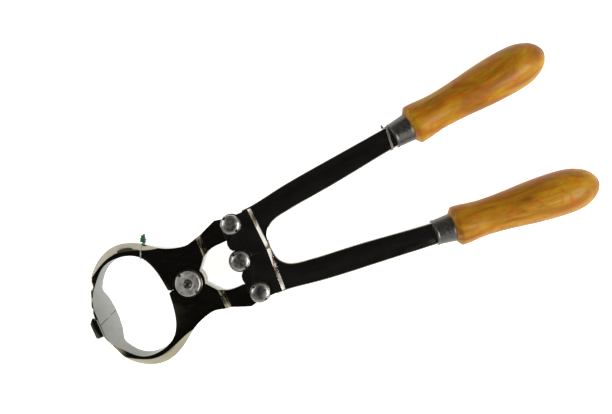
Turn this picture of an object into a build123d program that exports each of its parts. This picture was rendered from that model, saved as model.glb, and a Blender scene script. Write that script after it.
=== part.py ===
"""Bloodless castrating pincers: two hinged jaws closed by a pair of long levers.

The tool lies flat with its long axis along X (jaws towards -X), the pivots along Z
and the plane it rests on at Z = 0. Outlines are drawn from the main pivot, for the
upper (+Y) side; the lower side is the same forging turned half a turn about the
long axis, so its hinge laps come out on the other face.
"""

from build123d import *
import math
import os

# --- overall layout ---------------------------------------------------------
MAIN_PIVOT_X = -148.39      # main pivot seen from the middle of the tool
REST_HEIGHT = 28.8          # middle plane above the table
CENTRE_PIVOT_X = 51.0       # lever pivot behind the main pivot
LINK_X = 56.2               # jaw-to-lever pivots behind the main pivot
LINK_Y = 33.8               # and out from the long axis

# --- jaws -------------------------------------------------------------------
PLATE_HALF = 10.0           # half thickness round every pivot and along the bows
JAW_LAP_RADIUS = 14.9       # half-lap disc at the main pivot
BLADE_HALF = 26.0           # half width of the blades at the bite
BLADE_FLAT = 10.0           # they keep that width this far from the bite
BLADE_ROOT_Y = 42.0         # and are down to the bow's thickness here
NOSE_INNER_X = -82.9        # inner and outer faces of the blades at the bite
NOSE_OUTER_X = -89.5
BITE_SLANT = 5.3            # the bite leans this much from square, in degrees
BITE_GAP = 0.5              # left between the closed blades
BLADE_SLOPE = 9.5           # outer face of a blade leans in, in degrees
BOW_SLOPE = 41.0            # bevel along the outside of the bow
RING_CENTRE = (-48.0, 12.0)   # the ring's sloping sides lean towards this point
BOW_CROWN = 2.0             # half height of the bow's upright outer band
STOP_THICKNESS = 2.4        # cord stops at the two ends of the lower blade
STOP_GAP = 0.4
STOP_REACH = 8.6            # how far they lap over the upper blade
STOP_TAIL = 10.0
STOP_OUTER_X = -89.8
STOP_INNER_X = -83.4

# --- tongues and fork heads -------------------------------------------------
STEP_X = 21.7               # full thickness ends and slopes down to the tongue
STEP_END_X = 26.2
TONGUE_HALF = 4.5
TONGUE_END_RADIUS = 10.0
TONGUE_SLOT_SHIFT = (-1.35, 2.95)   # how far the link bolt wanders in the tongue
SLOT_GAP = 0.4              # each side of the tongue in the fork
FORK_POCKET_RADIUS = 17.4
HEAD_OUTER_Y = 40.4
HEAD_FRONT_X = 46.9
HEAD_END_X = 78.5           # outer and inner ends of the step down to the arm
HEAD_ROOT_X = 80.4
HEAD_STEP = 3.0
LEVER_LAP_RADIUS = 10.4
ARM_HALF = 6.0              # half thickness of the lever arms
ARM_EDGE = 1.2              # rounding along the arms
CROTCH_X = 81.6

# --- fits -------------------------------------------------------------------
LAP_GAP = 0.3               # between half laps and round their discs
BOLT_FIT = 0.05             # radial, bolt in turning hole

# --- bolts and nuts ---------------------------------------------------------
MAIN_BOLT_RADIUS = 6.5
MAIN_THREAD_RADIUS = 4.4
MAIN_NUT_RADIUS = 11.4
MAIN_NUT_HEIGHT = 5.5
MAIN_WASHER_RADIUS = 12.6
LINK_BOLT_RADIUS = 4.5
CENTRE_BOLT_RADIUS = 5.2
DOME_NUT_RADIUS = 9.1
DOME_NUT_HEIGHT = 5.6
SEAT_RADIUS = 9.0
WASHER_THICKNESS = 1.4
NOTCH_WIDTH = 2.7
NOTCH_DEPTH = 2.3
NOTCH_TURN = 112.0          # direction of the nuts' key notches, in degrees
BOLT_HEAD_HEIGHT = 5.0

# --- handles ----------------------------------------------------------------
HANDLE_START_X = 219.0      # a point on the handle's own axis
HANDLE_START_Y = 48.4
HANDLE_ANGLE = 6.0
FERRULE_START = 7.0         # distances along the handle's own axis
FERRULE_LENGTH = 17.9
FERRULE_FRONT_RADIUS = 12.2
FERRULE_REAR_RADIUS = 13.3
FERRULE_EDGE = 0.3
FERRULE_BORE_RADIUS = 11.6
SPIGOT_LENGTH = 9.0
GRIP_LENGTH = 140.0
GRIP_SHOULDER_RADIUS = 18.9
GRIP_NECK_RADIUS = 16.9
GRIP_BELLY_RADIUS = 21.2
TANG_RADIUS = 4.5
TANG_FIT = 0.05
BUTT_WASHER_RADIUS = 8.0
BUTT_WASHER_THICKNESS = 1.5
RIVET_RADIUS = 6.0
RIVET_HEIGHT = 1.6
ARM_TIP_HALF_WIDTH = FERRULE_BORE_RADIUS - 1.3   # its corners clear the bore

# --- wire ties --------------------------------------------------------------
JAW_TIE_POINT = (-31.7, 45.8)
JAW_TIE_TURN = -22.5
JAW_TIE_HALF = (10.0, PLATE_HALF + 1.6)
JAW_TIE_RADIUS = 0.9
ARM_TIE_START = 1.4
ARM_TIE_HALF = (11.9, ARM_HALF + 1.4)
ARM_TIE_RADIUS = 0.8
TIE_TAIL = 7.0
TIE_CORNER = 3.0
TIE_TWIST = 1.6


def level(height, side=1):
    """Drawing plane at a height above the middle plane, flipped for the lower side."""
    return Plane(
        origin=(MAIN_PIVOT_X, 0, REST_HEIGHT + side * height),
        x_dir=(1, 0, 0),
        z_dir=(0, 0, side),
    )


def on_circle(centre, radius, angle):
    """Point on a circle, the angle in degrees."""
    turn = math.radians(angle)
    return (centre[0] + radius * math.cos(turn), centre[1] + radius * math.sin(turn))


def jaw_silhouette():
    """Plan outline of one jaw without its tongue, run past the bite."""
    past = -4.0
    lap_side = on_circle((0, 0), JAW_LAP_RADIUS - 1.0, 24)
    outer = [(NOSE_OUTER_X, 8.0), (-85.6, 28.5), (-70.5, 51.2), (-50.0, 58.4), (-28.0, 51.0),
             (-7.0, 37.4), (8.5, 32.8), (STEP_END_X, 36.4)]
    inner = [(-20.2, 1.5), (-23.0, 21.5), (-32.5, 40.0), (-51.0, 46.9), (-67.0, 43.6),
             (-79.8, 30.0), (NOSE_INNER_X, 12.0)]
    with BuildSketch(Plane.XY, mode=Mode.PRIVATE) as outline:
        with BuildLine():
            top = Spline(*outer, tangents=[(0.02, 1.0), (1.0, 0.30)])
            Line(top @ 1, (STEP_END_X, 19.2))
            Line((STEP_END_X, 19.2), (STEP_X, 16.4))
            Line((STEP_X, 16.4), (16.2, 9.6))
            Line((16.2, 9.6), lap_side)
            Line(lap_side, (0, LAP_GAP / 2))
            Line((0, LAP_GAP / 2), (-17.6, LAP_GAP / 2))
            Line((-17.6, LAP_GAP / 2), inner[0])
            ring = Spline(*inner, tangents=[(-0.1, 1.0), (0.0, -1.0)])
            Line(ring @ 1, (NOSE_INNER_X, past))
            Line((NOSE_INNER_X, past), (NOSE_OUTER_X, past))
            Line((NOSE_OUTER_X, past), top @ 0)
        make_face()
    return outline.sketch


def nose_plane(x, side):
    """Drawing plane square to the long axis, its first axis outwards and its second up."""
    return Plane(origin=(MAIN_PIVOT_X + x, 0, REST_HEIGHT), x_dir=(0, side, 0), z_dir=(1, 0, 0))


def blade_envelope(side):
    """Front view of a blade's upper half: full width at the bite, bow thickness at its root."""
    past = -6.0
    with BuildPart(mode=Mode.PRIVATE) as block:
        with BuildSketch(nose_plane(NOSE_OUTER_X - 4, side)):
            with BuildLine():
                fall = Spline((BLADE_FLAT, BLADE_HALF), (24.0, 15.8), (BLADE_ROOT_Y, PLATE_HALF),
                              tangents=[(1, -0.12), (1, 0)])
                Polyline(fall @ 1, (BLADE_ROOT_Y + 20, PLATE_HALF), (BLADE_ROOT_Y + 20, 0), (past, 0),
                         (past, BLADE_HALF), fall @ 0)
            make_face()
        extrude(amount=NOSE_INNER_X + 24 - NOSE_OUTER_X + 8)
    return block.part


def drawn_in(point, distance):
    """Point moved towards the middle of the jaws' ring."""
    across = (point[0] - RING_CENTRE[0], point[1] - RING_CENTRE[1])
    keep = 1 - distance / math.hypot(*across)
    return (RING_CENTRE[0] + across[0] * keep, RING_CENTRE[1] + across[1] * keep)


def sloping_block(side, base, start, slope):
    """Block whose outer side leans inwards from a height, on a base given as (x, y) points."""
    back = -60.0
    lean = (BLADE_HALF - start) * math.tan(math.radians(slope))
    with BuildPart(mode=Mode.PRIVATE) as block:
        for height, inset in ((start, 0.0), (BLADE_HALF + 0.01, lean)):
            with BuildSketch(level(height, side)):
                with BuildLine():
                    edge = Spline(*[drawn_in(point, inset) for point in base])
                    Polyline(edge @ 1, ((edge @ 1).X, back), ((edge @ 0).X, back), edge @ 0)
                make_face()
        loft()
        if start > 0:
            with BuildSketch(level(-0.01, side)):
                Rectangle(400, 400)
            extrude(amount=start + 0.01)
    return block.part


def blade_blank(side):
    """Bow, blade and hinge plate of one jaw before the lap and the holes are cut."""
    blade_base = [(60.0, 64.0), (-45.0, 61.0), (-75.0, 49.0), (-89.0, 10.0), (-92.0, -30.0)]
    bow_base = [(60.0, 62.0), (6.0, 43.0), (-12.0, 44.0), (-30.0, 52.4), (-50.0, 58.6),
                (-66.0, 55.0), (-82.0, 46.0), (-105.0, 24.0), (-116.0, -30.0)]
    with BuildPart(mode=Mode.PRIVATE) as blank:
        with BuildSketch(level(0, side)):
            add(jaw_silhouette())
        extrude(amount=BLADE_HALF)
        add(blade_envelope(side), mode=Mode.INTERSECT)
        with BuildSketch(level(0, side)):
            add(jaw_silhouette())
        extrude(amount=PLATE_HALF)
        add(sloping_block(side, blade_base, 0, BLADE_SLOPE), mode=Mode.INTERSECT)
        add(sloping_block(side, bow_base, BOW_CROWN, BOW_SLOPE), mode=Mode.INTERSECT)
        with BuildSketch(Plane(origin=(MAIN_PIVOT_X, 0, REST_HEIGHT), x_dir=(1, 0, 0), z_dir=(0, -1, 0))):
            with BuildLine():
                above = side * (PLATE_HALF + 1)
                Polyline((STEP_X, side * PLATE_HALF), (STEP_END_X, side * (TONGUE_HALF + 0.2)),
                         (STEP_END_X + 1, side * (TONGUE_HALF + 0.2)), (STEP_END_X + 1, above),
                         (STEP_X, above), close=True)
            make_face()
        extrude(amount=60, both=True, mode=Mode.SUBTRACT)
        mirror(about=level(0))
        with BuildSketch(nose_plane(NOSE_OUTER_X - 5, side)):
            lean = (BLADE_HALF + 4) * math.tan(math.radians(BITE_SLANT))
            with BuildLine():
                Polyline((BITE_GAP / 2 - lean, BLADE_HALF + 4), (BITE_GAP / 2 + lean, -BLADE_HALF - 4),
                         (-20, -BLADE_HALF - 4), (-20, BLADE_HALF + 4), close=True)
            make_face()
        extrude(amount=NOSE_INNER_X - NOSE_OUTER_X + 12, mode=Mode.SUBTRACT)
    return blank.part


def disc(plane, centre, radius, height):
    """Round slug standing on a plane."""
    with BuildPart(mode=Mode.PRIVATE) as slug:
        with BuildSketch(plane):
            with Locations(centre):
                Circle(radius)
        extrude(amount=height)
    return slug.part


def tongue(side):
    """Thin tail of a jaw that enters the lever's fork."""
    link = (LINK_X, LINK_Y)
    corner = (43.2, 43.2)
    with BuildPart(mode=Mode.PRIVATE) as tail:
        with BuildSketch(level(-TONGUE_HALF, side)):
            with BuildLine():
                top = Spline((STEP_X - 1, 34.4), (29.5, 37.8), corner, tangents=[(1, 0.30), (1, 0.36)])
                Line(top @ 1, on_circle(link, TONGUE_END_RADIUS, 128))
                Line(on_circle(link, TONGUE_END_RADIUS, 128), on_circle(link, TONGUE_END_RADIUS, -80))
                under = Spline(on_circle(link, TONGUE_END_RADIUS, -80), (44.6, 21.6), (35.0, 21.4),
                               (26.5, 19.4), (STEP_X - 1, 15.4), tangents=[(-1, -0.2), (-1, -0.9)])
                Line(under @ 1, top @ 0)
            make_face()
            with Locations(link):
                Circle(TONGUE_END_RADIUS)
        extrude(amount=2 * TONGUE_HALF)
        with BuildSketch(level(-TONGUE_HALF, side)):
            shift = TONGUE_SLOT_SHIFT
            with Locations((LINK_X + shift[0] / 2, LINK_Y + shift[1] / 2)):
                SlotCenterToCenter(math.hypot(*shift), 2 * (LINK_BOLT_RADIUS + LAP_GAP + 0.15),
                                   rotation=math.degrees(math.atan2(shift[1], shift[0])))
        extrude(amount=2 * TONGUE_HALF, mode=Mode.SUBTRACT)
    return tail.part


def jaw(side):
    """One complete jaw; its lap disc is the half below the middle plane."""
    with BuildPart() as forging:
        add(blade_blank(side))
        add(tongue(side))
        add(disc(level(-PLATE_HALF, side), (0, 0), JAW_LAP_RADIUS, PLATE_HALF - LAP_GAP / 2))
        add(disc(level(-LAP_GAP / 2, side), (0, 0), JAW_LAP_RADIUS + LAP_GAP,
                 PLATE_HALF + LAP_GAP), mode=Mode.SUBTRACT)
        with BuildSketch(level(-PLATE_HALF, side)):
            Circle(MAIN_BOLT_RADIUS + BOLT_FIT)
        extrude(amount=2 * PLATE_HALF, mode=Mode.SUBTRACT)
    return forging.part


def cord_stop(facing):
    """Lug across one end of the bite, standing on the lower blade's end."""
    seam = -facing * BLADE_HALF * math.tan(math.radians(BITE_SLANT))
    tail = seam - STOP_TAIL
    reach = seam + STOP_REACH
    with BuildPart(mode=Mode.PRIVATE) as lug:
        with BuildSketch(level(facing * (BLADE_HALF + STOP_GAP))):
            with BuildLine():
                Polyline((STOP_OUTER_X, tail + 1.4), (STOP_OUTER_X + 1.4, tail), (STOP_INNER_X, tail),
                         (STOP_INNER_X, reach - 3.4), (STOP_INNER_X - 2.6, reach),
                         (STOP_OUTER_X + 1.6, reach - 2.0), (STOP_OUTER_X, reach - 4.2), close=True)
            make_face()
        extrude(amount=facing * STOP_THICKNESS)
        with BuildSketch(level(facing * (BLADE_HALF - 3.0))):
            with BuildLine():
                Polyline((STOP_OUTER_X + 2.2, tail), (STOP_INNER_X, tail), (STOP_INNER_X, seam - 1.4),
                         (STOP_OUTER_X + 2.2, seam - 1.4), close=True)
            make_face()
        extrude(amount=facing * (3.0 + STOP_GAP))
    return lug.part


def lever_head(side):
    """Thick fork head of a lever with the sloping step down to its arm."""
    with BuildPart(mode=Mode.PRIVATE) as head:
        with BuildSketch(level(-PLATE_HALF, side)):
            with BuildLine():
                Polyline((CENTRE_PIVOT_X, LAP_GAP / 2), (HEAD_ROOT_X, LAP_GAP / 2),
                         (HEAD_END_X, HEAD_OUTER_Y), (64.0, HEAD_OUTER_Y), (LINK_X, HEAD_OUTER_Y + 1.2),
                         (HEAD_FRONT_X + 3.4, HEAD_OUTER_Y), (HEAD_FRONT_X, HEAD_OUTER_Y - 3.6),
                         (HEAD_FRONT_X, 21.6), (HEAD_FRONT_X - 1.0, 17.4), (HEAD_FRONT_X - 0.4, 13.6),
                         (HEAD_FRONT_X + 1.4, 10.8), (CENTRE_PIVOT_X, 9.6), close=True)
            make_face()
        extrude(amount=2 * PLATE_HALF)
        middle = MAIN_PIVOT_X + (HEAD_ROOT_X + HEAD_END_X) / 2
        steps = head.edges().filter_by(lambda edge: edge.length > 30 and abs(edge.center().X - middle) < 1)
        chamfer(steps, PLATE_HALF - ARM_HALF, HEAD_STEP)
    return head.part


def arm_blank(side):
    """Long flat arm from the head to the ferrule, its edges rounded."""
    end = (HANDLE_START_X + (FERRULE_START + 2.0) * math.cos(math.radians(HANDLE_ANGLE)),
           HANDLE_START_Y + (FERRULE_START + 2.0) * math.sin(math.radians(HANDLE_ANGLE)))
    across = (-math.sin(math.radians(HANDLE_ANGLE)), math.cos(math.radians(HANDLE_ANGLE)))
    outer_tip = (end[0] + ARM_TIP_HALF_WIDTH * across[0], end[1] + ARM_TIP_HALF_WIDTH * across[1])
    inner_tip = (end[0] - ARM_TIP_HALF_WIDTH * across[0], end[1] - ARM_TIP_HALF_WIDTH * across[1])
    with BuildPart(mode=Mode.PRIVATE) as arm:
        with BuildSketch(level(-ARM_HALF, side)):
            with BuildLine():
                top = Spline((HEAD_END_X - 1.0, 42.2), (104.0, 46.2), (160.0, 52.8), outer_tip,
                             tangents=[(1, 0.09), (1, 0.1)])
                Line(top @ 1, inner_tip)
                under = Spline(inner_tip, (160.0, 30.1), (104.0, 23.8), (90.0, 19.6),
                               (83.6, 12.4), (CROTCH_X, LAP_GAP / 2),
                               tangents=[(-1, -0.1), (-0.1, -1)])
                Line(under @ 1, (70.0, LAP_GAP / 2))
                Line((70.0, LAP_GAP / 2), (70.0, 42.0))
                Line((70.0, 42.0), top @ 0)
            make_face()
        extrude(amount=2 * ARM_HALF)
        long_edges = arm.edges().filter_by(GeomType.BSPLINE)
        fillet(long_edges, ARM_EDGE)
    return arm.part


def handle_axis_plane(distance, side):
    """Plane square to a handle's own axis, at a distance from its starting point."""
    turn = math.radians(HANDLE_ANGLE)
    x = MAIN_PIVOT_X + HANDLE_START_X + distance * math.cos(turn)
    y = side * (HANDLE_START_Y + distance * math.sin(turn))
    return Plane(origin=(x, y, REST_HEIGHT), x_dir=(0, 0, 1),
                 z_dir=(math.cos(turn), side * math.sin(turn), 0))


def lever(side):
    """One lever: lap disc, fork head, arm and the tang that runs through the grip."""
    grip_end = FERRULE_START + FERRULE_LENGTH + GRIP_LENGTH
    tang_start = FERRULE_START + 1.0
    with BuildPart() as forging:
        add(lever_head(side))
        add(arm_blank(side))
        add(disc(level(-PLATE_HALF, side), (CENTRE_PIVOT_X, 0), LEVER_LAP_RADIUS,
                 PLATE_HALF - LAP_GAP / 2))
        add(disc(level(-LAP_GAP / 2, side), (CENTRE_PIVOT_X, 0), LEVER_LAP_RADIUS + LAP_GAP,
                 PLATE_HALF + LAP_GAP), mode=Mode.SUBTRACT)
        add(disc(level(-TONGUE_HALF - SLOT_GAP, side), (LINK_X, LINK_Y), FORK_POCKET_RADIUS,
                 2 * (TONGUE_HALF + SLOT_GAP)), mode=Mode.SUBTRACT)
        add(disc(level(-PLATE_HALF, side), (CENTRE_PIVOT_X, 0), CENTRE_BOLT_RADIUS + BOLT_FIT,
                 2 * PLATE_HALF), mode=Mode.SUBTRACT)
        add(disc(level(-PLATE_HALF, side), (LINK_X, LINK_Y), LINK_BOLT_RADIUS,
                 2 * PLATE_HALF), mode=Mode.SUBTRACT)
        with BuildSketch(handle_axis_plane(tang_start, side)):
            Circle(TANG_RADIUS)
        extrude(amount=grip_end + BUTT_WASHER_THICKNESS - tang_start)
        with BuildSketch(handle_axis_plane(grip_end + BUTT_WASHER_THICKNESS, side)):
            Circle(RIVET_RADIUS)
        extrude(amount=RIVET_HEIGHT, taper=35)
    return forging.part


def revolve_on_handle(profile, side):
    """Turned piece on a handle's own axis from (distance, radius) points and curves."""
    plane = handle_axis_plane(0, side)
    turned = Plane(origin=plane.origin, x_dir=plane.z_dir, z_dir=(0, 0, 1))
    with BuildPart() as piece:
        with BuildSketch(turned):
            with BuildLine():
                profile()
            make_face()
        revolve(axis=Axis(plane.origin, plane.z_dir))
    return piece.part


def ferrule_profile():
    """Half section of a ferrule."""
    start = FERRULE_START
    end = start + FERRULE_LENGTH
    Polyline((start, FERRULE_BORE_RADIUS), (start, FERRULE_FRONT_RADIUS - FERRULE_EDGE),
             (start + FERRULE_EDGE, FERRULE_FRONT_RADIUS), (end, FERRULE_REAR_RADIUS),
             (end, FERRULE_BORE_RADIUS), close=True)


def grip_profile():
    """Half section of a wooden grip with its spigot and tang hole."""
    start = FERRULE_START + FERRULE_LENGTH
    end = start + GRIP_LENGTH
    bore = TANG_RADIUS + TANG_FIT
    Line((start - SPIGOT_LENGTH, bore), (start - SPIGOT_LENGTH, FERRULE_BORE_RADIUS - TANG_FIT))
    Line((start - SPIGOT_LENGTH, FERRULE_BORE_RADIUS - TANG_FIT),
         (start, FERRULE_BORE_RADIUS - TANG_FIT))
    Line((start, FERRULE_BORE_RADIUS - TANG_FIT), (start, FERRULE_REAR_RADIUS))
    Line((start, FERRULE_REAR_RADIUS), (start + 4.6, GRIP_SHOULDER_RADIUS))
    waist = Spline((start + 4.6, GRIP_SHOULDER_RADIUS), (start + 30.0, GRIP_NECK_RADIUS),
                   (start + 106.0, GRIP_BELLY_RADIUS), tangents=[(1, -0.05), (1, 0)])
    butt = Spline(waist @ 1, (end - 9.0, 16.4), (end, BUTT_WASHER_RADIUS + 0.6),
                  tangents=[(1, 0), (0.12, -1)])
    Line(butt @ 1, (end, bore))
    Line((end, bore), (start - SPIGOT_LENGTH, bore))


def butt_washer_profile():
    """Half section of the washer under the riveted tang."""
    end = FERRULE_START + FERRULE_LENGTH + GRIP_LENGTH
    bore = TANG_RADIUS + TANG_FIT
    Polyline((end, bore), (end, BUTT_WASHER_RADIUS), (end + BUTT_WASHER_THICKNESS - 0.5, BUTT_WASHER_RADIUS),
             (end + BUTT_WASHER_THICKNESS, BUTT_WASHER_RADIUS - 0.7),
             (end + BUTT_WASHER_THICKNESS, bore), close=True)


def bolt(centre, radius, thread_radius, nut_height, head_radius):
    """Pivot bolt with a low round head underneath, its end showing in the nut."""
    top = PLATE_HALF + WASHER_THICKNESS + nut_height
    with BuildPart() as pin:
        add(disc(level(-PLATE_HALF, 1), centre, radius, 2 * PLATE_HALF))
        add(disc(level(PLATE_HALF, 1), centre, thread_radius, top - PLATE_HALF))
        add(disc(level(-PLATE_HALF - BOLT_HEAD_HEIGHT, 1), centre, head_radius, BOLT_HEAD_HEIGHT))
        low_edge = pin.edges().group_by(Axis.Z)[0]
        chamfer(low_edge, 1.6)
        with BuildSketch(level(top - 2.5)):
            with Locations(centre):
                Circle(thread_radius * 0.55)
        extrude(amount=2.5, mode=Mode.SUBTRACT)
    return pin.part


def notched_nut(centre, radius, bore, height, dome):
    """Round nut with two key notches in its rim and a rounded or bevelled top."""
    base = PLATE_HALF + WASHER_THICKNESS
    with BuildPart() as nut:
        with BuildSketch(level(base)):
            with Locations(centre):
                Circle(radius)
        extrude(amount=height)
        top_rim = nut.edges().group_by(Axis.Z)[-1]
        if dome > 1.0:
            fillet(top_rim, dome)
        else:
            chamfer(top_rim, dome)
        with BuildSketch(level(base)):
            with Locations(centre):
                Circle(bore)
        extrude(amount=height, mode=Mode.SUBTRACT)
        with BuildSketch(level(base)):
            with Locations(on_circle(centre, radius, NOTCH_TURN), on_circle(centre, -radius, NOTCH_TURN)):
                Rectangle(2 * NOTCH_DEPTH, NOTCH_WIDTH, rotation=NOTCH_TURN)
        extrude(amount=height, mode=Mode.SUBTRACT)
    return nut.part


def washer(centre, radius, bore):
    """Flat seat ring between a nut and the forging."""
    with BuildPart() as ring:
        with BuildSketch(level(PLATE_HALF)):
            with Locations(centre):
                Circle(radius)
                Circle(bore, mode=Mode.SUBTRACT)
        extrude(amount=WASHER_THICKNESS)
        chamfer(ring.edges().group_by(Axis.Z)[-1].sort_by(SortBy.LENGTH)[-1:], 0.4)
    return ring.part


def save(part, name):
    """Label one piece and write it out."""
    part.label = name
    export_step(part, f"parts/{name}.step")


def wire_tie(plane, half, radius):
    """Wire wrapped once round a bar, its ends twisted into a short stub."""
    with BuildPart() as wire:
        with BuildSketch(plane, mode=Mode.PRIVATE) as loop:
            RectangleRounded(2 * half[0], 2 * half[1], TIE_CORNER)
        path = loop.sketch.faces()[0].outer_wire()
        with BuildSketch(Plane(origin=path @ 0, z_dir=path % 0)):
            Circle(radius)
        sweep(path=path)
        with BuildSketch(Plane(origin=plane.from_local_coords((half[0], 0, 0)), z_dir=plane.x_dir)):
            Circle(TIE_TWIST * radius)
        extrude(amount=TIE_TAIL)
    return wire.part


os.makedirs("parts", exist_ok=True)

with BuildPart() as lower_jaw:
    add(jaw(-1))
    add(cord_stop(1))
    add(cord_stop(-1))
save(jaw(1), "upper_jaw")
save(lower_jaw.part, "lower_jaw")

for side, name in ((1, "upper"), (-1, "lower")):
    link = (LINK_X, side * LINK_Y)
    save(lever(side), f"{name}_lever")
    save(revolve_on_handle(ferrule_profile, side), f"{name}_ferrule")
    save(revolve_on_handle(grip_profile, side), f"{name}_grip")
    save(revolve_on_handle(butt_washer_profile, side), f"{name}_butt_washer")
    save(bolt(link, LINK_BOLT_RADIUS, LINK_BOLT_RADIUS, DOME_NUT_HEIGHT, DOME_NUT_RADIUS - 0.8),
         f"{name}_link_bolt")
    save(washer(link, SEAT_RADIUS, LINK_BOLT_RADIUS), f"{name}_link_washer")
    save(notched_nut(link, DOME_NUT_RADIUS, LINK_BOLT_RADIUS, DOME_NUT_HEIGHT, 2.6), f"{name}_link_nut")

centre = (CENTRE_PIVOT_X, 0)
save(bolt(centre, CENTRE_BOLT_RADIUS, LINK_BOLT_RADIUS, DOME_NUT_HEIGHT, DOME_NUT_RADIUS),
     "centre_pivot_bolt")
save(washer(centre, SEAT_RADIUS, LINK_BOLT_RADIUS), "centre_pivot_washer")
save(notched_nut(centre, DOME_NUT_RADIUS, LINK_BOLT_RADIUS, DOME_NUT_HEIGHT, 2.6), "centre_pivot_nut")
save(bolt((0, 0), MAIN_BOLT_RADIUS, MAIN_THREAD_RADIUS, MAIN_NUT_HEIGHT, MAIN_NUT_RADIUS),
     "main_pivot_bolt")
save(washer((0, 0), MAIN_WASHER_RADIUS, MAIN_THREAD_RADIUS), "main_pivot_washer")
save(notched_nut((0, 0), MAIN_NUT_RADIUS, MAIN_THREAD_RADIUS, MAIN_NUT_HEIGHT, 0.6), "main_pivot_nut")

across = Plane(origin=(MAIN_PIVOT_X + JAW_TIE_POINT[0], JAW_TIE_POINT[1], REST_HEIGHT),
               x_dir=on_circle((0, 0), 1, 90 + JAW_TIE_TURN) + (0,), z_dir=on_circle((0, 0), 1, JAW_TIE_TURN) + (0,))
save(wire_tie(across, JAW_TIE_HALF, JAW_TIE_RADIUS), "jaw_tie")
axis_plane = handle_axis_plane(ARM_TIE_START, 1)
shank_plane = Plane(origin=axis_plane.origin, x_dir=(-math.sin(math.radians(HANDLE_ANGLE)), math.cos(math.radians(HANDLE_ANGLE)), 0),
                    z_dir=axis_plane.z_dir)
save(wire_tie(shank_plane, ARM_TIE_HALF, ARM_TIE_RADIUS), "shank_tie")
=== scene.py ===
"""Long-handled bloodless castrating pincers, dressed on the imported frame."""
import logging
import math
from dataclasses import dataclass
from enum import Enum
from itertools import pairwise
from typing import Sequence

import bmesh
import bpy
from mathutils import Matrix, Vector


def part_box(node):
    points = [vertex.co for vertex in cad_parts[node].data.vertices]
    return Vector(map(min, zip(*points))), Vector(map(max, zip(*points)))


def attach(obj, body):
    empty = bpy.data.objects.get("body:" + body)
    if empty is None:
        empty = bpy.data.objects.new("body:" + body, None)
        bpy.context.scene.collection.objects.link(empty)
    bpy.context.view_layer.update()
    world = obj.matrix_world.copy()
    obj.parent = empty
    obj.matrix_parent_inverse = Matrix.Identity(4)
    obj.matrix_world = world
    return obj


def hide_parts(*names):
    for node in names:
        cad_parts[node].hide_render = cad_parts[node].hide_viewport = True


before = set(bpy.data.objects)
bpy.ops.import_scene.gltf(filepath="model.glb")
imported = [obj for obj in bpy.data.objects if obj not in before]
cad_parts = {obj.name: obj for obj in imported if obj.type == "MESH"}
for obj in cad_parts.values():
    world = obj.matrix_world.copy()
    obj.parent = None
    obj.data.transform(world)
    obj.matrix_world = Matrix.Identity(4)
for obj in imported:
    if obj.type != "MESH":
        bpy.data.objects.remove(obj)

logging.basicConfig(level=logging.INFO, format="%(message)s")
LOG = logging.getLogger("pincers")

MM = 0.001
MERGE_MM = 0.002  # corners closer than this are one corner
FLAT_DEGREES = 0.06  # facets that turn less than this make one flat
MAIN_PIVOT = (Vector(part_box("main_pivot_nut")[0]) + Vector(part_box("main_pivot_nut")[1])) / 2
MID_HEIGHT = (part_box("upper_grip")[0][2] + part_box("upper_grip")[1][2]) / 2


class Side(Enum):
    """Which half of the pincers a piece belongs to."""

    UPPER = 1
    LOWER = -1

    @property
    def label(self) -> str:
        """First word of the names of this half's nodes."""
        return self.name.lower()


class Slot(Enum):
    """Material slots of the record."""

    POLISHED = "polished_steel"
    TURNED = "turned_steel"
    DARK = "dark_steel"
    WOOD = "varnished_wood"
    GREEN = "green_plastic"
    WIRE = "bare_wire"


# --- finishes ---------------------------------------------------------------


def linear(code: str) -> tuple[float, float, float, float]:
    """Turn an sRGB hex colour into linear values.

    Args:
        code: Colour such as "#a97815".

    Returns:
        Red, green, blue and full alpha, linear.
    """
    parts = [int(code[i:i + 2], 16) / 255 for i in (1, 3, 5)]
    bent = [c / 12.92 if c <= 0.04045 else ((c + 0.055) / 1.055) ** 2.4 for c in parts]
    return (bent[0], bent[1], bent[2], 1.0)


def add_node(tree: bpy.types.NodeTree, kind: str, inputs: dict | None = None,
             **settings: object) -> bpy.types.Node:
    """Add one node with its settings, values and links.

    Args:
        tree: Node tree that gets the node.
        kind: Node type.
        inputs: Value or linked output for each input, by name or number.
        settings: Attributes of the node itself.

    Returns:
        The new node.
    """
    node = tree.nodes.new(kind)
    for name, value in settings.items():
        setattr(node, name, value)
    for key, value in (inputs or {}).items():
        if isinstance(value, bpy.types.NodeSocket):
            tree.links.new(value, node.inputs[key])
        else:
            node.inputs[key].default_value = value
    return node


def start_material(name: str) -> tuple[bpy.types.Material, bpy.types.NodeTree, bpy.types.NodeSocket]:
    """Begin a material with an empty tree and millimetre coordinates.

    Args:
        name: Name of the material.

    Returns:
        The material, its tree, and the position in millimetres.
    """
    material = bpy.data.materials.new(name)
    material.use_nodes = True
    tree = material.node_tree
    tree.nodes.clear()
    place = add_node(tree, "ShaderNodeTexCoord")
    scale = add_node(tree, "ShaderNodeVectorMath", {0: place.outputs["Object"], 1: (1 / MM, 1 / MM, 1 / MM)},
                     operation="MULTIPLY")
    return material, tree, scale.outputs[0]


def finish_material(tree: bpy.types.NodeTree, inputs: dict) -> None:
    """Close a material with its shader and output.

    Args:
        tree: Node tree to close.
        inputs: Values and links of the shader.
    """
    shader = add_node(tree, "ShaderNodeBsdfPrincipled", inputs)
    add_node(tree, "ShaderNodeOutputMaterial", {"Surface": shader.outputs[0]})


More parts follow.
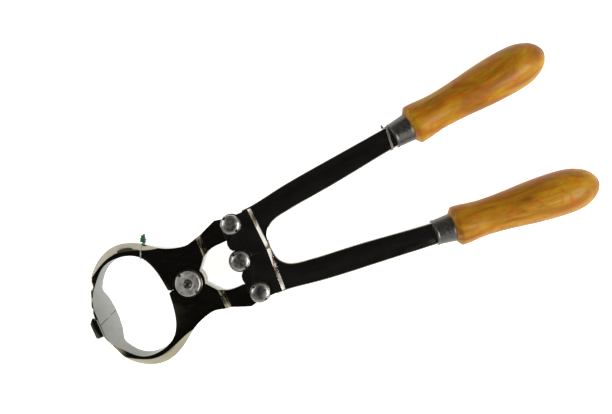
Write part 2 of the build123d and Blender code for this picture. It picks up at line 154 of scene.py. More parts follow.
@dataclass(frozen=True)
class PlatedSteel:
    """Nickel-plated forged steel, mirror polished: dark flats, bright edges, faint waves, buffing marks."""

    name: str = "nickel_plated_forged_steel"
    # Khaki, darkened tones: partly the plating's own colour, partly a painted reflection of the khaki
    # surroundings mirrored in the steel.
    bright: str = "#96927c"
    dull: str = "#7b7764"
    smooth: float = 0.05
    rough: float = 0.15
    cloud_mm: float = 9.0
    wave_mm: float = 26.0
    wave_depth_mm: float = 0.9
    buff_mm: float = 1.6
    buff_depth_mm: float = 0.1
    buff_turn: float = 0.3
    buff_stretch: float = 0.12

    def make(self) -> bpy.types.Material:
        """Build the node material: the buffing runs along the tool, the waves are left by the hammer.

        Returns:
            The material.
        """
        material, tree, place = start_material(self.name)
        cloud = add_node(tree, "ShaderNodeTexNoise",
                         {"Vector": place, "Scale": 1 / self.cloud_mm, "Detail": 5.0})
        tone = add_node(tree, "ShaderNodeMix",
                        {0: cloud.outputs[0], 6: linear(self.dull), 7: linear(self.bright)}, data_type="RGBA")
        stretch = add_node(tree, "ShaderNodeMapping",
                           {"Vector": place, "Rotation": (0, 0, self.buff_turn),
                            "Scale": (self.buff_stretch, 1, 1)})
        buff = add_node(tree, "ShaderNodeTexNoise",
                        {"Vector": stretch.outputs[0], "Scale": 1 / self.buff_mm, "Detail": 4.0})
        haze = add_node(tree, "ShaderNodeMapRange",
                        {"Value": buff.outputs[0], "From Min": 0.35, "From Max": 0.75, "To Min": self.smooth,
                         "To Max": self.rough})
        wave = add_node(tree, "ShaderNodeTexNoise",
                        {"Vector": place, "Scale": 1 / self.wave_mm, "Detail": 2.0})
        swell = add_node(tree, "ShaderNodeBump",
                         {"Height": wave.outputs[0], "Strength": 0.5, "Distance": self.wave_depth_mm * MM})
        lines = add_node(tree, "ShaderNodeBump",
                         {"Height": buff.outputs[0], "Strength": 0.12, "Distance": self.buff_depth_mm * MM,
                          "Normal": swell.outputs[0]})
        finish_material(tree, {"Base Color": tone.outputs[2], "Metallic": 1.0, "Roughness": haze.outputs[0],
                               "Normal": lines.outputs[0]})
        return material


@dataclass(frozen=True)
class GroundSteel:
    """Inner faces of the blades, wheel ground: an even satin grey that turns to polish along the bows."""

    name: str = "wheel_ground_steel"
    satin: str = "#9b9c96"
    worn: str = "#8a8b86"
    polished: str = "#7d7a6c"
    satin_rough: float = 0.5
    polished_rough: float = 0.12
    polish_from_mm: float = -64.0
    polish_to_mm: float = -36.0
    grit_mm: float = 0.7
    grit_depth_mm: float = 0.1
    grit_stretch: float = 0.06

    def make(self) -> bpy.types.Material:
        """Build the node material: grit lines run down the faces, drawn coarser than real to show.

        Returns:
            The material.
        """
        material, tree, place = start_material(self.name)
        split = add_node(tree, "ShaderNodeSeparateXYZ", {0: place})
        shift = MAIN_PIVOT.x / MM
        share = add_node(tree, "ShaderNodeMapRange",
                         {"Value": split.outputs[0], "From Min": shift + self.polish_from_mm,
                          "From Max": shift + self.polish_to_mm, "To Min": 0.0, "To Max": 1.0})
        stretch = add_node(tree, "ShaderNodeMapping", {"Vector": place, "Scale": (1, 1, self.grit_stretch)})
        grit = add_node(tree, "ShaderNodeTexNoise",
                        {"Vector": stretch.outputs[0], "Scale": 1 / self.grit_mm, "Detail": 3.0})
        tone = add_node(tree, "ShaderNodeMix",
                        {0: share.outputs[0], 6: linear(self.satin), 7: linear(self.polished)},
                        data_type="RGBA")
        worn = add_node(tree, "ShaderNodeMix",
                        {0: grit.outputs[0], 6: linear(self.worn), 7: tone.outputs[2]}, data_type="RGBA")
        gloss = add_node(tree, "ShaderNodeMapRange",
                         {"Value": share.outputs[0], "From Min": 0.0, "From Max": 1.0,
                          "To Min": self.satin_rough, "To Max": self.polished_rough})
        lines = add_node(tree, "ShaderNodeBump",
                         {"Height": grit.outputs[0], "Strength": 0.3, "Distance": self.grit_depth_mm * MM})
        finish_material(tree, {"Base Color": worn.outputs[2], "Metallic": 1.0, "Roughness": gloss.outputs[0],
                               "Normal": lines.outputs[0]})
        return material


@dataclass(frozen=True)
class MachinedSteel:
    """Turned or drawn steel: small handling marks and slightly uneven gloss."""

    name: str
    light: str
    dark: str
    smooth: float
    rough: float
    mark_mm: float
    depth_mm: float

    def make(self) -> bpy.types.Material:
        """Build the node material.

        Returns:
            The material.
        """
        material, tree, place = start_material(self.name)
        marks = add_node(tree, "ShaderNodeTexNoise",
                         {"Vector": place, "Scale": 1 / self.mark_mm, "Detail": 6.0})
        tone = add_node(tree, "ShaderNodeMix",
                        {0: marks.outputs[0], 6: linear(self.dark), 7: linear(self.light)}, data_type="RGBA")
        haze = add_node(tree, "ShaderNodeMapRange",
                        {"Value": marks.outputs[0], "From Min": 0.3, "From Max": 0.7, "To Min": self.smooth,
                         "To Max": self.rough})
        dents = add_node(tree, "ShaderNodeBump",
                         {"Height": marks.outputs[0], "Strength": 0.35, "Distance": self.depth_mm * MM})
        finish_material(tree, {"Base Color": tone.outputs[2], "Metallic": 1.0, "Roughness": haze.outputs[0],
                               "Normal": dents.outputs[0]})
        return material


@dataclass(frozen=True)
class VarnishedWood:
    """Turned hardwood under clear varnish: golden ground, orange blushes, brown streaks along the grip."""

    name: str
    turn: float
    light: str = "#b58410"
    ground: str = "#91580a"
    blush: str = "#b0560c"
    streak: str = "#5c2f06"
    grain_mm: float = 3.4
    grain_stretch: float = 0.07
    pore_depth_mm: float = 0.3
    cloud_mm: float = 17.0
    cloud_stretch: float = 0.35
    run_depth_mm: float = 1.2
    blush_mm: float = 12.0

    def make(self) -> bpy.types.Material:
        """Build the node material: the grain runs down the grip, coarser than real so that it shows.

        Returns:
            The material.
        """
        material, tree, place = start_material(self.name)
        along = add_node(tree, "ShaderNodeMapping", {"Vector": place, "Rotation": (0, 0, -self.turn)})
        stretch = add_node(tree, "ShaderNodeMapping",
                           {"Vector": along.outputs[0], "Scale": (self.grain_stretch, 1, 1)})
        grain = add_node(tree, "ShaderNodeTexNoise",
                         {"Vector": stretch.outputs[0], "Scale": 1 / self.grain_mm, "Detail": 6.0,
                          "Distortion": 0.6})
        patch = add_node(tree, "ShaderNodeMapping",
                         {"Vector": along.outputs[0], "Scale": (self.cloud_stretch, 1, 1)})
        cloud = add_node(tree, "ShaderNodeTexNoise",
                         {"Vector": patch.outputs[0], "Scale": 1 / self.cloud_mm, "Detail": 4.0,
                          "Distortion": 1.2})
        thick = add_node(tree, "ShaderNodeMapRange",
                         {"Value": cloud.outputs[0], "From Min": 0.38, "From Max": 0.66, "To Min": 0.0,
                          "To Max": 1.0})
        fine = add_node(tree, "ShaderNodeMapRange",
                        {"Value": grain.outputs[0], "From Min": 0.52, "From Max": 0.76, "To Min": 0.0,
                         "To Max": 0.5})
        body = add_node(tree, "ShaderNodeMix",
                        {0: thick.outputs[0], 6: linear(self.light), 7: linear(self.ground)},
                        data_type="RGBA")
        rose = add_node(tree, "ShaderNodeTexNoise",
                        {"Vector": along.outputs[0], "Scale": 1 / self.blush_mm, "Detail": 3.0,
                         "Distortion": 0.8})
        warm = add_node(tree, "ShaderNodeMapRange",
                        {"Value": rose.outputs[0], "From Min": 0.5, "From Max": 0.7, "To Min": 0.0,
                         "To Max": 0.7})
        skin = add_node(tree, "ShaderNodeMix",
                        {0: warm.outputs[0], 6: body.outputs[2], 7: linear(self.blush)}, data_type="RGBA")
        tone = add_node(tree, "ShaderNodeMix",
                        {0: fine.outputs[0], 6: skin.outputs[2], 7: linear(self.streak)}, data_type="RGBA")
        pores = add_node(tree, "ShaderNodeBump",
                         {"Height": grain.outputs[0], "Strength": 0.25, "Distance": self.pore_depth_mm * MM})
        runs = add_node(tree, "ShaderNodeBump",
                        {"Height": cloud.outputs[0], "Strength": 0.4, "Distance": self.run_depth_mm * MM,
                         "Normal": pores.outputs[0]})
        finish_material(tree, {"Base Color": tone.outputs[2], "Roughness": 0.5, "IOR": 1.3,
                               "Specular IOR Level": 0.3, "Coat Weight": 0.12, "Coat Roughness": 0.1,
                               "Coat IOR": 1.4, "Normal": runs.outputs[0]})
        return material


@dataclass(frozen=True)
class CoatedWire:
    """Soft wire drawn through plastic: green, a little waxy."""

    name: str = "green_pvc_coated_wire"
    light: str = "#127a40"
    dark: str = "#0a3d1e"
    mark_per_mm: float = 0.9
    dent_depth_mm: float = 0.1

    def make(self) -> bpy.types.Material:
        """Build the node material.

        Returns:
            The material.
        """
        material, tree, place = start_material(self.name)
        marks = add_node(tree, "ShaderNodeTexNoise",
                         {"Vector": place, "Scale": self.mark_per_mm, "Detail": 3.0})
        tone = add_node(tree, "ShaderNodeMix",
                        {0: marks.outputs[0], 6: linear(self.dark), 7: linear(self.light)}, data_type="RGBA")
        dents = add_node(tree, "ShaderNodeBump",
                         {"Height": marks.outputs[0], "Strength": 0.3, "Distance": self.dent_depth_mm * MM})
        finish_material(tree, {"Base Color": tone.outputs[2], "Roughness": 0.38, "IOR": 1.53,
                               "Normal": dents.outputs[0]})
        return material


# --- bench work -------------------------------------------------------------


def clear_selection() -> None:
    """Leave edit mode and deselect everything."""
    if bpy.context.mode != "OBJECT":
        bpy.ops.object.mode_set(mode="OBJECT")
    bpy.ops.object.select_all(action="DESELECT")


def take_up(piece: bpy.types.Object) -> None:
    """Make one piece the only selected and active one.

    Args:
        piece: Object to work on.
    """
    clear_selection()
    piece.select_set(True)
    bpy.context.view_layer.objects.active = piece


def smooth_line(points: Sequence[tuple[float, float]], steps: int) -> list[tuple[float, float]]:
    """Run a smooth profile through a few points.

    Args:
        points: Distance along the axis and radius, in millimetres.
        steps: Number of short runs between two points.

    Returns:
        The points of the smooth profile, the given ones among them.
    """
    ends = [points[0], *points, points[-1]]
    line = []
    for i in range(len(points) - 1):
        p0, p1, p2, p3 = (Vector(p) for p in ends[i:i + 4])
        for step in range(steps):
            t = step / steps
            bend = (2 * p1 + (p2 - p0) * t + (2 * p0 - 5 * p1 + 4 * p2 - p3) * t * t
                    + (3 * p1 - p0 - 3 * p2 + p3) * t ** 3) / 2
            line.append((bend.x, bend.y))
    return line + [tuple(points[-1])]


def turn_piece(name: str, profile: Sequence[tuple[float, float]], sides: int = 72) -> bpy.types.Object:
    """Turn a solid piece on the lathe, its axis along +Z from the origin.

    Args:
        name: Name of the piece.
        profile: Distance along the axis and radius at each station, in millimetres.
        sides: Number of flats round the piece.

    Returns:
        The closed piece.
    """
    clear_selection()
    at, radius = profile[0]
    bpy.ops.mesh.primitive_circle_add(vertices=sides, radius=radius * MM, fill_type="NGON",
                                      location=(0, 0, at * MM))
    piece = bpy.context.active_object
    piece.name = name
    bpy.ops.object.transform_apply(location=True, rotation=True, scale=True)
    bpy.ops.object.mode_set(mode="EDIT")
    bpy.ops.mesh.select_all(action="SELECT")
    for (here, size), (there, new_size) in pairwise(profile):
        bpy.ops.mesh.extrude_region_move(TRANSFORM_OT_translate={"value": (0, 0, (there - here) * MM)})
        grow = new_size / size
        bpy.ops.transform.resize(value=(grow, grow, 1), center_override=(0, 0, there * MM))
    bpy.ops.mesh.select_all(action="SELECT")
    bpy.ops.mesh.normals_make_consistent(inside=False)
    bpy.ops.object.mode_set(mode="OBJECT")
    return piece


def set_down(piece: bpy.types.Object, place: Matrix, smooth_degrees: float = 38.0) -> None:
    """Move a piece to its place and leave the place in its mesh.

    Args:
        piece: Piece made at the origin.
        place: Where it goes.
        smooth_degrees: Edges flatter than this are shaded smooth.
    """
    take_up(piece)
    piece.matrix_world = place
    bpy.ops.object.transform_apply(location=True, rotation=True, scale=True)
    bpy.ops.object.shade_smooth_by_angle(angle=math.radians(smooth_degrees))


def apply_modifiers(piece: bpy.types.Object) -> None:
    """Apply every modifier of a piece, in order.

    Args:
        piece: Piece whose modifiers are made part of its mesh.
    """
    take_up(piece)
    for modifier in list(piece.modifiers):
        bpy.ops.object.modifier_apply(modifier=modifier.name)


def break_edges(piece: bpy.types.Object, edge_mm: float, segments: int, least_degrees: float) -> None:
    """Round the sharp edges of a piece.

    Args:
        piece: Piece to finish.
        edge_mm: Width of the rounded edges.
        segments: Number of steps in a rounding.
        least_degrees: Edges flatter than this stay as they are.
    """
    rounding = piece.modifiers.new("edge", "BEVEL")
    rounding.width = edge_mm * MM
    rounding.segments = segments
    rounding.limit_method = "ANGLE"
    rounding.angle_limit = math.radians(least_degrees)
    rounding.use_clamp_overlap = True
    apply_modifiers(piece)


def forged_copy(node: str, edge_mm: float, segments: int = 3) -> bpy.types.Object:
    """Copy a CAD piece and break its sharp edges as polishing does.

    Args:
        node: Name of the CAD node.
        edge_mm: Width of the rounded edges.
        segments: Number of steps in a rounding.

    Returns:
        The new piece, which stands for the node.
    """
    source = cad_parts[node]
    piece = bpy.data.objects.new(f"{node}_dressed", source.data.copy())
    bpy.context.scene.collection.objects.link(piece)
    piece.data.materials.clear()
    work = bmesh.new()
    work.from_mesh(piece.data)
    bmesh.ops.remove_doubles(work, verts=work.verts, dist=MERGE_MM * MM)
    bmesh.ops.dissolve_limit(work, angle_limit=math.radians(FLAT_DEGREES), verts=work.verts, edges=work.edges)
    work.to_mesh(piece.data)
    work.free()
    break_edges(piece, edge_mm, segments, 28.0)
    bpy.ops.object.shade_smooth_by_angle(angle=math.radians(32))
    return piece


def hand_over(piece: bpy.types.Object, body: str, nodes: Sequence[str] = ()) -> None:
    """Fix a piece to its body and say what it stands for.

    Args:
        piece: Finished piece.
        body: CAD body that carries it.
        nodes: CAD nodes it replaces.
    """
    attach(piece, body)
    if nodes:
        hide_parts(*nodes)
    LOG.info("%s: %d faces on %s", piece.name, len(piece.data.polygons), body)


# --- sub-assemblies ---------------------------------------------------------


@dataclass
class Forgings:
    """The four plated forgings: two jaws and two levers."""

    edge_mm: float = 0.8
    ring_middle_mm: tuple[float, float] = (-50.0, 0.0)
    ground_from_mm: float = -30.0
    upright: float = 0.4
    inward: float = 0.5

    def build(self) -> None:
        """Make the jaws and levers."""
        plated = PlatedSteel().make()
        # The upper jaw gets a slightly lighter, greyer copy of the plated steel: a painted reflection
        # standing in for the pale light mirrored on its bow.
        upper_jaw_sheen = PlatedSteel("painted_sheen_upper_jaw_steel", "#9c9887", "#7c7866").make()
        # The levers get a much lighter copy of the plated steel: a painted highlight, so that the mirrored
        # floor reads white on their stepped edges.
        bright = PlatedSteel("painted_highlight_lever_steel", "#c9c6bc", "#a3a096").make()
        ground = GroundSteel().make()
        for side in Side:
            jaw = forged_copy(f"{side.label}_jaw", self.edge_mm)
            jaw.data.materials.append(upper_jaw_sheen if side is Side.UPPER else plated)
            jaw.data.materials.append(ground)
            self.mark_ground_faces(jaw)
            hand_over(jaw, f"{side.label}_jaw_body", [f"{side.label}_jaw"])
            lever = forged_copy(f"{side.label}_lever", self.edge_mm)
            lever.data.materials.append(bright)
            hand_over(lever, f"{side.label}_handle", [f"{side.label}_lever"])

    def mark_ground_faces(self, jaw: bpy.types.Object) -> None:
        """Give the faces that look into the ring the ground finish.

        Args:
            jaw: Jaw with the plated finish first and the ground one second.
        """
        middle = MAIN_PIVOT + Vector((self.ring_middle_mm[0] * MM, self.ring_middle_mm[1] * MM, 0))
        for face in jaw.data.polygons:
            inwards = middle - face.center
            inwards.z = 0
            far_enough = face.center.x < MAIN_PIVOT.x + self.ground_from_mm * MM
            upright = abs(face.normal.z) < self.upright
            if far_enough and upright and face.normal.dot(inwards.normalized()) > self.inward:
                face.material_index = 1


@dataclass
class Pivots:
    """Bolts, seat rings and notched nuts of the four pivots."""

    edge_mm: float = 0.35
    dome_radius: float = 9.1
    dome_height: float = 5.6
    notch_width: float = 2.6
    notch_depth: float = 2.2
    notch_turn: float = 112.0
    notch_clearance: float = 1.0
    notch_edge_mm: float = 0.18
    head_radius: float = 8.3
    head_height: float = 5.0
    pin_radius: float = 4.4

    def build(self) -> None:
        """Make every pivot's pieces."""
        nut = MachinedSteel("turned_steel_nut", "#b9b8b2", "#72716c", 0.2, 0.4, 3.5, 0.5).make()
        flat = MachinedSteel("faced_steel_nut", "#dddbd4", "#9d9b95", 0.36, 0.55, 4.0, 0.5).make()
        bolt = MachinedSteel("oiled_bolt_steel", "#9a978f", "#5c5a55", 0.2, 0.4, 1.5, 0.2).make()
        seat = PlatedSteel("nickel_plated_seat_ring", "#77756c", "#5f5d55", 0.08, 0.2).make()
        for part, finish in (("bolt", bolt), ("washer", seat), ("nut", flat)):
            node = f"main_pivot_{part}"
            self.dress(forged_copy(node, self.edge_mm, 2), finish, "main_pivot", node)
        for name, body in (("centre_pivot", "centre_pivot"), ("upper_link", "upper_handle"),
                           ("lower_link", "lower_handle")):
            self.dress(forged_copy(f"{name}_washer", self.edge_mm, 2), seat, body, f"{name}_washer")
            self.dress(self.dome_nut(name), nut, body, f"{name}_nut")
            self.dress(self.short_bolt(name), bolt, body, f"{name}_bolt")

    def dress(self, piece: bpy.types.Object, finish: bpy.types.Material, body: str, node: str) -> None:
        """Give a pivot piece its finish and fix it to its body.

        Args:
            piece: Finished piece.
            finish: Its material.
            body: CAD body that carries it.
            node: CAD node that it stands for.
        """
        piece.data.materials.clear()
        piece.data.materials.append(finish)
        hand_over(piece, body, [node])

    def seat(self, node: str) -> Vector:
        """Find the middle of a node's foot, where a turned piece stands.

        Args:
            node: Name of the CAD node.

        Returns:
            The point, in metres.
        """
        low, high = (Vector(corner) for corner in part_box(node))
        return Vector(((low.x + high.x) / 2, (low.y + high.y) / 2, low.z))

    def dome_nut(self, name: str) -> bpy.types.Object:
        """Turn a domed nut and cut the two key notches in its rim.

        Args:
            name: First words of the pivot's nodes.

        Returns:
            The nut in its place.
        """
        radius, height = self.dome_radius, self.dome_height
        dome = smooth_line([(height * 0.36, radius), (height * 0.62, radius * 0.95),
                            (height * 0.82, radius * 0.78), (height * 0.94, radius * 0.5),
                            (height, radius * 0.2)], 4)
        dimple = [(height - 0.12, radius * 0.13), (height - 0.2, 0.15)]
        nut = turn_piece(f"{name}_nut_dressed", [(0, radius - 0.5), (0.4, radius)] + dome + dimple, 64)
        for turn in (self.notch_turn, self.notch_turn + 180):
            self.cut_notch(nut, math.radians(turn))
        break_edges(nut, self.notch_edge_mm, 2, 40.0)
        set_down(nut, Matrix.Translation(self.seat(f"{name}_nut")))
        return nut

    def cut_notch(self, nut: bpy.types.Object, across: float) -> None:
        """Cut one key notch in a nut's rim.

        Args:
            nut: Nut that stands on the origin.
            across: Direction of the notch, in radians.
        """
        reach = self.dome_radius - self.notch_depth / 2 + self.notch_clearance
        clear_selection()
        middle = Vector((reach * math.cos(across), reach * math.sin(across), self.dome_height / 2)) * MM
        bpy.ops.mesh.primitive_cube_add(size=1, location=middle, rotation=(0, 0, across))
        cutter = bpy.context.active_object
        cutter.scale = ((self.notch_depth + 2 * self.notch_clearance) * MM, self.notch_width * MM,
                        (self.dome_height + 2 * self.notch_clearance) * MM)
        bpy.ops.object.transform_apply(location=True, rotation=True, scale=True)
        cut = nut.modifiers.new("notch", "BOOLEAN")
        cut.operation = "DIFFERENCE"
        cut.solver = "EXACT"
        cut.object = cutter
        apply_modifiers(nut)
        bpy.data.objects.remove(cutter)

    def short_bolt(self, name: str) -> bpy.types.Object:
        """Turn a bolt whose round head shows underneath and whose end stays inside the nut.

        Args:
            name: First words of the pivot's nodes.

        Returns:
            The bolt in its place.
        """
        low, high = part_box(f"{name}_bolt")
        length = (high[2] - low[2]) / MM
        head, shoulder = self.head_radius, self.head_height
        crown = smooth_line([(0, head * 0.55), (0.5, head * 0.8), (1.7, head * 0.97), (2.6, head)], 4)
        shank = [(shoulder, head), (shoulder, self.pin_radius), (length - 1.6, self.pin_radius),
                 (length - 1.2, self.pin_radius - 0.5)]
        bolt = turn_piece(f"{name}_bolt_dressed", crown + shank, 48)
        set_down(bolt, Matrix.Translation(self.seat(f"{name}_bolt")))
        return bolt


@dataclass
class Handles:
    """Ferrule, wooden grip and riveted butt of both handles."""

    axis_start_mm: tuple[float, float] = (219.0, 48.4)
    axis_degrees: float = 6.0
    ferrule_start: float = 7.0
    ferrule_length: float = 17.9
    ferrule_front: float = 12.2
    ferrule_rear: float = 13.3
    grip_length: float = 140.0
    washer_radius: float = 8.0
    washer_thickness: float = 1.5

    def axis(self, side: Side) -> Matrix:
        """Place a handle's own axis: +Z runs down the handle from its start.

        Args:
            side: Which handle.

        Returns:
            The place of the axis.
        """
        start = Vector((MAIN_PIVOT.x + self.axis_start_mm[0] * MM, side.value * self.axis_start_mm[1] * MM,
                        MID_HEIGHT))
        lean = math.radians(self.axis_degrees) * side.value
        turn = Matrix.Rotation(lean, 4, "Z") @ Matrix.Rotation(math.radians(90), 4, "Y")
        return Matrix.Translation(start) @ turn

    def build(self) -> None:
        """Make both handles."""
        dark = MachinedSteel("satin_ferrule_steel", "#6d6c69", "#474644", 0.3, 0.5, 2.2, 0.2).make()
        rivet = MachinedSteel("burnt_rivet_steel", "#5a5650", "#2c2926", 0.4, 0.6, 1.2, 0.2).make()
        for side in Side:
            lean = math.radians(self.axis_degrees) * side.value
            wood = VarnishedWood(f"varnished_beech_{side.label}", lean).make()
            body = f"{side.label}_handle"
            for piece, finish, slot, node in ((self.ferrule(side), dark, Slot.DARK, "ferrule"),
                                              (self.grip(side), wood, Slot.WOOD, "grip"),
                                              (self.butt(side), rivet, Slot.TURNED, "butt_washer")):
                set_down(piece, self.axis(side))
                piece.data.materials.append(finish)
                hand_over(piece, body, [f"{side.label}_{node}"])

    def ferrule(self, side: Side) -> bpy.types.Object:
        """Turn the ferrule with its rolled front rim and faint groove.

        Args:
            side: Which handle.

        Returns:
            The ferrule on its own axis.
        """
        start, end = self.ferrule_start, self.ferrule_start + self.ferrule_length
        front, rear = self.ferrule_front, self.ferrule_rear
        profile = [(start + 0.9, front - 2.2), (start + 0.1, front - 1.9), (start, front - 1.2),
                   (start + 0.1, front - 0.5), (start + 0.5, front - 0.1), (start + 1.1, front),
                   (start + 1.8, front - 0.05), (start + 2.3, front - 0.35), (start + 2.9, front - 0.3),
                   (start + 8.0, front + 0.2), (end - 2.4, rear - 0.2), (end - 0.6, rear),
                   (end - 0.15, rear - 0.15), (end, rear - 0.5)]
        return turn_piece(f"{side.label}_ferrule_dressed", profile)

    def grip(self, side: Side) -> bpy.types.Object:
        """Turn the wooden grip: short cone, shoulder, waist, belly and rounded butt.

        Args:
            side: Which handle.

        Returns:
            The grip on its own axis.
        """
        start = self.ferrule_start + self.ferrule_length
        end = start + self.grip_length
        cone = [(start, 12.9), (start + 0.4, 13.5), (start + 2.2, 15.9)]
        shoulder = [(start + 3.9, 18.2), (start + 5.4, 18.8), (start + 12.0, 18.5), (start + 30.0, 17.0),
                    (start + 52.0, 17.8), (start + 80.0, 20.2), (start + 104.0, 21.0), (start + 120.0, 19.95),
                    (end - 9.0, 16.4), (end - 3.2, 12.8), (end - 0.7, 10.4), (end, 8.8)]
        return turn_piece(f"{side.label}_grip_dressed", cone + smooth_line(shoulder, 6), 96)

    def butt(self, side: Side) -> bpy.types.Object:
        """Turn the butt washer with the hammered end of the tang in it.

        Args:
            side: Which handle.

        Returns:
            The washer on its own axis.
        """
        start = self.ferrule_start + self.ferrule_length + self.grip_length
        face = start + self.washer_thickness
        profile = [(start - 0.2, self.washer_radius), (face - 0.5, self.washer_radius),
                   (face - 0.1, self.washer_radius - 0.4), (face - 0.1, 6.2), (face + 0.6, 5.8),
                   (face + 1.1, 4.6), (face + 1.35, 2.6), (face + 1.4, 0.4)]
        return turn_piece(f"{side.label}_butt_dressed", profile, 48)


@dataclass
class WireTie:
    """One wire wound round a bar, its two ends twisted together on the outside."""

    node: str
    bar: str
    body: str
    slot: Slot
    centre_mm: tuple[float, float]
    turn_degrees: float
    wire_mm: float
    knot_wire_mm: float
    knot_mm: float
    turns: int
    slant_mm: float
    bar_reach_mm: float = 16.0
    stand_off_mm: float = 0.12
    corner_room: float = 1.35
    pitch: float = 1.3
    knot_turns: float = 3.5
    knot_steps: int = 48

    def build(self, finish: bpy.types.Material, knot_finish: bpy.types.Material) -> None:
        """Wind the tie and twist its knot.

        Args:
            finish: Finish of the wire round the bar.
            knot_finish: Finish of the twisted ends.
        """
        loop = self.tube(f"{self.node}_loop_dressed", self.winding(), self.wire_mm)
        loop.data.materials.append(finish)
        hand_over(loop, self.body, [self.node])
        knot = self.tube(f"{self.node}_knot_dressed", self.twist(), self.knot_wire_mm)
        knot.data.materials.append(knot_finish)
        hand_over(knot, self.body)

    def place(self) -> Matrix:
        """Place the tie: +X across the bar and outwards, +Y up, +Z along the bar.

        Returns:
            The place of the tie's middle.
        """
        turn = math.radians(self.turn_degrees)
        across = Vector((-math.sin(turn), math.cos(turn), 0))
        along = Vector((math.cos(turn), math.sin(turn), 0))
        middle = Vector((MAIN_PIVOT.x + self.centre_mm[0] * MM, self.centre_mm[1] * MM, MID_HEIGHT))
        return Matrix.Translation(middle) @ Matrix((across, Vector((0, 0, 1)), along)).transposed().to_4x4()

    def section(self) -> list[Vector]:
        """Cut the bar where the tie goes round it and keep the outer corners of the cut.

        Returns:
            The corners in turn, in millimetres.
        """
        work = bmesh.new()
        work.from_mesh(bpy.data.objects[self.bar].data)
        place = self.place()
        cut = bmesh.ops.bisect_plane(work, geom=work.verts[:] + work.edges[:] + work.faces[:],
                                     plane_co=place.translation, plane_no=place.col[2].to_3d(), dist=1e-7)
        back = place.inverted()
        found = [back @ v.co for v in cut["geom_cut"] if isinstance(v, bmesh.types.BMVert)]
        work.free()
        spots = sorted({(round(p.x / MM, 2), round(p.y / MM, 2)) for p in found
                        if abs(p.x) < self.bar_reach_mm * MM})
        hull: list[tuple[float, float]] = []
        for run in (spots, spots[::-1]):
            base = len(hull)
            for spot in run:
                while len(hull) > base + 1 and self.turns_right(hull[-2], hull[-1], spot):
                    hull.pop()
                hull.append(spot)
            hull.pop()
        return [Vector(p) for p in hull]

    @staticmethod
    def turns_right(a: tuple[float, float], b: tuple[float, float], c: tuple[float, float]) -> bool:
        """Whether the path from a over b to c doesn't turn left."""
        return (b[0] - a[0]) * (c[1] - a[1]) - (b[1] - a[1]) * (c[0] - a[0]) <= 0.02

    def winding(self) -> list[Vector]:
        """Lead the wire round the bar.

        Returns:
            Its path, in place, in metres.
        """
        outline = self.section()
        middle = sum(outline, Vector((0, 0))) / len(outline)
        gap = (self.wire_mm / 2 + self.stand_off_mm) * self.corner_room
        start = max(range(len(outline)), key=lambda i: outline[i].x)
        ring = outline[start:] + outline[:start]
        total = self.turns * len(ring)
        advance = self.wire_mm * self.pitch * self.turns
        path = []
        for i in range(total + 1):
            spot = ring[i % len(ring)]
            out = spot + (spot - middle).normalized() * gap
            tilt = self.slant_mm * (spot.x - middle.x) / 10
            path.append(Vector((out.x, out.y, (i / total - 0.5) * advance + tilt)))
        place = self.place()
        return [place @ (p * MM) for p in path]

    def twist(self) -> list[Vector]:
        """Lead the twisted ends out from the bar.

        Returns:
            Their path, in place, in metres.
        """
        foot = max(p.x for p in self.section()) + self.knot_wire_mm / 2
        path = []
        for i in range(self.knot_steps + 1):
            share = i / self.knot_steps
            angle = share * 2 * math.pi * self.knot_turns
            swell = self.knot_mm / 2 * (0.55 + 0.45 * math.sin(math.pi * min(1.0, share * 1.5)))
            path.append(Vector((foot + share * self.knot_mm * 1.7, swell * math.cos(angle),
                                swell * math.sin(angle))))
        place = self.place()
        return [place @ (p * MM) for p in path]

    def tube(self, name: str, path: list[Vector], thick_mm: float) -> bpy.types.Object:
        """Draw wire along a path.

        Args:
            name: Name of the piece.
            path: Points in place, in metres.
            thick_mm: Thickness of the wire.

        Returns:
            The wire as a mesh.
        """
        curve = bpy.data.curves.new(name, "CURVE")
        curve.dimensions = "3D"
        curve.bevel_depth = thick_mm / 2 * MM
        curve.bevel_resolution = 3
        curve.use_fill_caps = True
        run = curve.splines.new("POLY")
        run.points.add(len(path) - 1)
        for point, spot in zip(run.points, path):
            point.co = (*spot, 1.0)
        wire = bpy.data.objects.new(name, curve)
        bpy.context.scene.collection.objects.link(wire)
        take_up(wire)
        bpy.ops.object.convert(target="MESH")
        wire = bpy.context.active_object
        bpy.ops.object.shade_smooth_by_angle(angle=math.radians(60))
        return wire


@dataclass
class Ties:
    """The two wire ties that hold the tool shut for sale."""

    wire_mm: float = 0.8

    def build(self) -> None:
        """Dress both ties."""
        green = CoatedWire().make()
        wire = MachinedSteel("annealed_iron_wire", "#c4c1b8", "#7d7a73", 0.3, 0.5, 1.0, 0.1).make()
        jaw_tie = WireTie("jaw_tie", "upper_jaw_dressed", "upper_jaw_body", Slot.GREEN, (-28.5, 44.5), -22.5,
                          self.wire_mm, knot_wire_mm=2.0, knot_mm=4.4, turns=1, slant_mm=0.0)
        jaw_tie.build(wire, green)
        shank_tie = WireTie("shank_tie", "upper_lever_dressed", "upper_handle", Slot.WIRE, (222.0, 48.7), 6.0,
                            self.wire_mm, knot_wire_mm=self.wire_mm, knot_mm=2.2, turns=2, slant_mm=2.6)
        shank_tie.build(wire, wire)


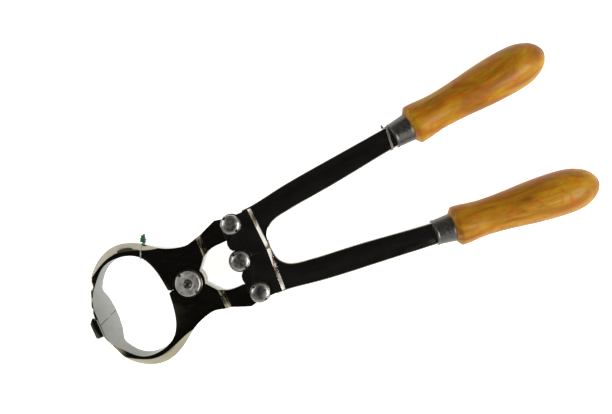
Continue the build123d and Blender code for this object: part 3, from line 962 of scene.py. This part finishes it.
@dataclass
class Studio:
    """White sweep, soft light and the camera above the pincers."""

    camera_mm: tuple[float, float, float] = (-29.71, 27.75, 590.57)
    camera_right: tuple[float, float, float] = (0.9170479, -0.3984238, 0.0167811)
    camera_up: tuple[float, float, float] = (0.3985638, 0.9171217, -0.0058978)
    camera_back: tuple[float, float, float] = (-0.0130404, 0.0120968, 0.9998418)
    lens_mm: float = 35.445
    floor_m: float = 6.0
    floor_glow: float = 0.78
    sky_strength: float = 1.1
    window_side: tuple[float, float, float] = (0.37, -0.93, 0.0)
    floor_drop_m: float = 0.0004
    soft_box_m: tuple[float, float] = (0.7, 0.5)
    key_at: tuple[float, float, float] = (0.85, -0.55, 0.95)
    key_watts: float = 13.0
    fill_at: tuple[float, float, float] = (-0.9, 0.6, 0.9)
    fill_watts: float = 5.0
    aim_height_m: float = 0.02

    def build(self) -> None:
        """Set the floor, the light and the camera."""
        self.floor()
        self.sky()
        self.lamp("key", self.key_at, self.key_watts)
        self.lamp("fill", self.fill_at, self.fill_watts)
        self.camera()

    def floor(self) -> None:
        """Lay the plain white floor."""
        clear_selection()
        bpy.ops.mesh.primitive_plane_add(size=self.floor_m, location=(0, 0, -self.floor_drop_m))
        floor = bpy.context.active_object
        floor.name = "floor"
        material, tree, place = start_material("white_paper_sweep")
        cloud = add_node(tree, "ShaderNodeTexNoise", {"Vector": place, "Scale": 0.002, "Detail": 2.0})
        tone = add_node(tree, "ShaderNodeMix",
                        {0: cloud.outputs[0], 6: linear("#f6f6f6"), 7: linear("#fcfcfc")}, data_type="RGBA")
        finish_material(tree, {"Base Color": tone.outputs[2], "Roughness": 0.9,
                               "Emission Color": (1, 1, 1, 1), "Emission Strength": self.floor_glow})
        floor.data.materials.append(material)

    def sky(self) -> None:
        """Light the room: bright walls, a dark ceiling above the camera."""
        world = bpy.data.worlds.new("studio_room")
        bpy.context.scene.world = world
        world.use_nodes = True
        tree = world.node_tree
        tree.nodes.clear()
        place = add_node(tree, "ShaderNodeTexCoord")
        split = add_node(tree, "ShaderNodeSeparateXYZ", {0: place.outputs["Generated"]})
        dark = add_node(tree, "ShaderNodeMapRange",
                        {"Value": split.outputs[2], "From Min": 0.62, "From Max": 0.90, "To Min": 0.0,
                         "To Max": 1.0})
        window = add_node(tree, "ShaderNodeVectorMath", {0: place.outputs["Generated"], 1: self.window_side},
                          operation="DOT_PRODUCT")
        turn = add_node(tree, "ShaderNodeMapRange",
                        {"Value": window.outputs["Value"], "From Min": -0.8, "From Max": 0.8, "To Min": 0.0,
                         "To Max": 1.0})
        walls = add_node(tree, "ShaderNodeMix",
                         {0: turn.outputs[0], 6: linear("#6b6862"), 7: linear("#fffdf8")}, data_type="RGBA")
        blotch = add_node(tree, "ShaderNodeTexNoise",
                          {"Vector": place.outputs["Generated"], "Scale": 5.0, "Detail": 2.0})
        ceiling = add_node(tree, "ShaderNodeMix",
                           {0: blotch.outputs[0], 6: linear("#07090d"), 7: linear("#2b2929")},
                           data_type="RGBA")
        tone = add_node(tree, "ShaderNodeMix",
                        {0: dark.outputs[0], 6: walls.outputs[2], 7: ceiling.outputs[2]}, data_type="RGBA")
        light = add_node(tree, "ShaderNodeBackground",
                         {"Color": tone.outputs[2], "Strength": self.sky_strength})
        add_node(tree, "ShaderNodeOutputWorld", {"Surface": light.outputs[0]})
        bpy.context.scene.view_settings.view_transform = "Standard"

    def lamp(self, name: str, at: tuple[float, float, float], watts: float) -> None:
        """Hang one soft box that faces the pincers.

        Args:
            name: Name of the lamp.
            at: Where it hangs, in metres.
            watts: Power.
        """
        data = bpy.data.lights.new(name, "AREA")
        data.shape = "RECTANGLE"
        data.size, data.size_y = self.soft_box_m
        data.energy = watts
        lamp = bpy.data.objects.new(name, data)
        bpy.context.scene.collection.objects.link(lamp)
        aim = (Vector((0, 0, self.aim_height_m)) - Vector(at)).to_track_quat("-Z", "Y").to_matrix().to_4x4()
        lamp.matrix_world = Matrix.Translation(at) @ aim

    def camera(self) -> None:
        """Hang the camera straight above the pincers, close to them."""
        data = bpy.data.cameras.new("camera")
        data.sensor_width = 36.0
        data.lens = self.lens_mm
        data.clip_start = 0.01
        camera = bpy.data.objects.new("camera", data)
        bpy.context.scene.collection.objects.link(camera)
        axes = Matrix((self.camera_right, self.camera_up, self.camera_back)).transposed().to_4x4()
        camera.matrix_world = Matrix.Translation(Vector(self.camera_mm) * MM) @ axes
        bpy.context.scene.camera = camera


def main() -> None:
    """Build the pincers piece by piece."""
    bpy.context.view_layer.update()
    for maker in (Studio(), Forgings(), Pivots(), Handles(), Ties()):
        maker.build()
    clear_selection()


if __name__ == "__main__":
    main()
